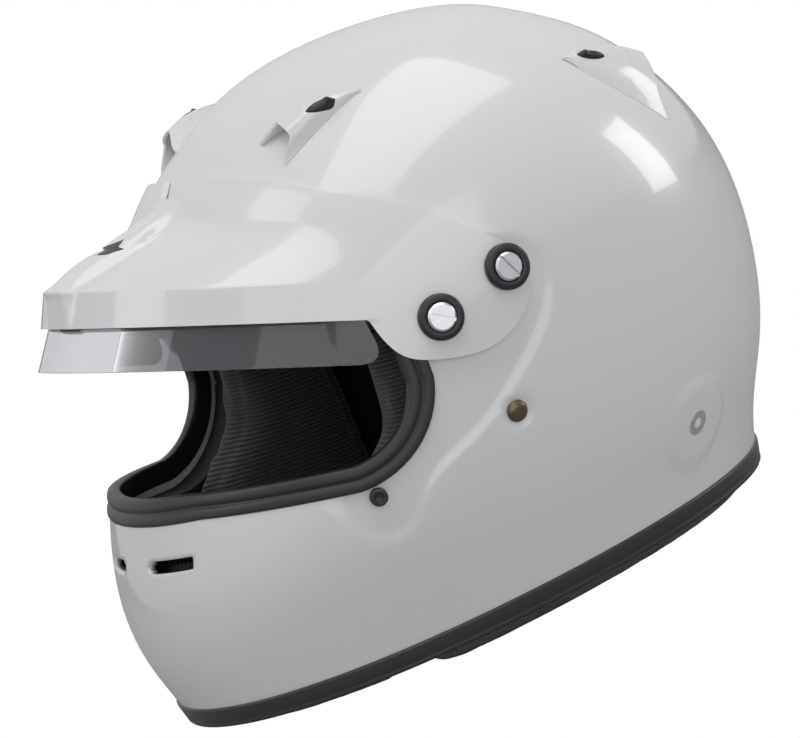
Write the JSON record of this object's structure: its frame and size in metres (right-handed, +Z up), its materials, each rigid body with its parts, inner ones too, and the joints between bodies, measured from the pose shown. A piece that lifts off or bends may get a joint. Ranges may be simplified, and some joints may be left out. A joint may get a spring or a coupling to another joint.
{
  "type": "auto racing helmet",
  "caption": "White full-face car racing helmet with a screwed-on peak, clear glare strip, roof ducts with shutters, padded interior and D-ring chin strap, no face shield.",
  "frame": {"origin": "centre of the footprint box, on the ground under the neck roll", "axes": "-Y ahead (the way the wearer looks), +X to the wearer's left, +Z up, with the shell's bottom edge level"},
  "size_m": [0.2698, 0.3471, 0.2705],
  "materials": {
    "shell_white": "gloss",
    "peak_white": "gloss",
    "duct_white": "gloss",
    "smoke_clear": "gloss",
    "black_rubber": "satin",
    "trim_rubber": "satin",
    "ring_rubber": "matte",
    "mesh_black": "matte",
    "foam_dark": "matte",
    "screw_alu": "satin",
    "insert_steel": "satin",
    "rivet_brass": "dark satin",
    "stud_black": "satin",
    "anchor_alu": "satin",
    "shutter_black": "satin",
    "webbing_black": "woven",
    "ring_steel": "satin",
    "snap_black": "satin",
    "knit_dark": "knit",
    "knit_roll": "knit"
  },
  "bodies": {
    "helmet": {"outer_shell": "shell_white", "eyeport_gasket": "black_rubber", "base_trim": "trim_rubber", "chin_mesh": "mesh_black", "impact_liner": "foam_dark", "chin_liner": "foam_dark", "peak": "peak_white", "glare_strip": "smoke_clear", "peak_screws": "screw_alu", "screw_rings": "ring_rubber", "screw_inserts": "insert_steel", "strap_rivets": "rivet_brass", "rivet_washers": "insert_steel", "shield_studs": "stud_black", "anchor_insert_left": "anchor_alu", "anchor_insert_right": "anchor_alu", "front_duct_left": "duct_white", "front_duct_right": "duct_white", "rear_duct_left": "duct_white", "rear_duct_right": "duct_white", "strap_left": "webbing_black", "strap_right": "webbing_black", "strap_snap": "snap_black", "neck_roll": "knit_roll", "chin_curtain": "knit_roll", "cheek_pad_left": "knit_dark", "cheek_pad_right": "knit_dark", "crown_pad": "knit_dark", "brow_pad": "knit_dark", "pad_snaps": "snap_black"},
    "front_shutter_left_body": {"front_shutter_left": "shutter_black"},
    "front_shutter_right_body": {"front_shutter_right": "shutter_black"},
    "rear_shutter_left_body": {"rear_shutter_left": "shutter_black"},
    "rear_shutter_right_body": {"rear_shutter_right": "shutter_black"},
    "d_ring_inner_body": {"d_ring_inner": "ring_steel"},
    "d_ring_outer_body": {"d_ring_outer": "ring_steel"}
  },
  "joints": [
    {"name": "front_shutter_left_slide", "type": "slide", "parent": "helmet", "child": "front_shutter_left_body", "axis": [0.2546, 0.9605, 0.1124], "range_m": [0, 0.004]},
    {"name": "front_shutter_right_slide", "type": "slide", "parent": "helmet", "child": "front_shutter_right_body", "axis": [-0.2546, 0.9605, 0.1124], "range_m": [0, 0.004]},
    {"name": "rear_shutter_left_slide", "type": "slide", "parent": "helmet", "child": "rear_shutter_left_body", "axis": [0.0651, -0.8652, 0.4972], "range_m": [0, 0.004]},
    {"name": "rear_shutter_right_slide", "type": "slide", "parent": "helmet", "child": "rear_shutter_right_body", "axis": [-0.0651, -0.8652, 0.4972], "range_m": [0, 0.004]},
    {"name": "d_ring_inner_hinge", "type": "hinge", "parent": "helmet", "child": "d_ring_inner_body", "pos_m": [-0.04405, -0.01839, 0.025], "axis": [0, -1, 0], "range_deg": [0, 60]},
    {"name": "d_ring_outer_hinge", "type": "hinge", "parent": "helmet", "child": "d_ring_outer_body", "pos_m": [-0.04825, -0.01839, 0.025], "axis": [0, 1, 0], "range_deg": [0, 45]}
  ]
}
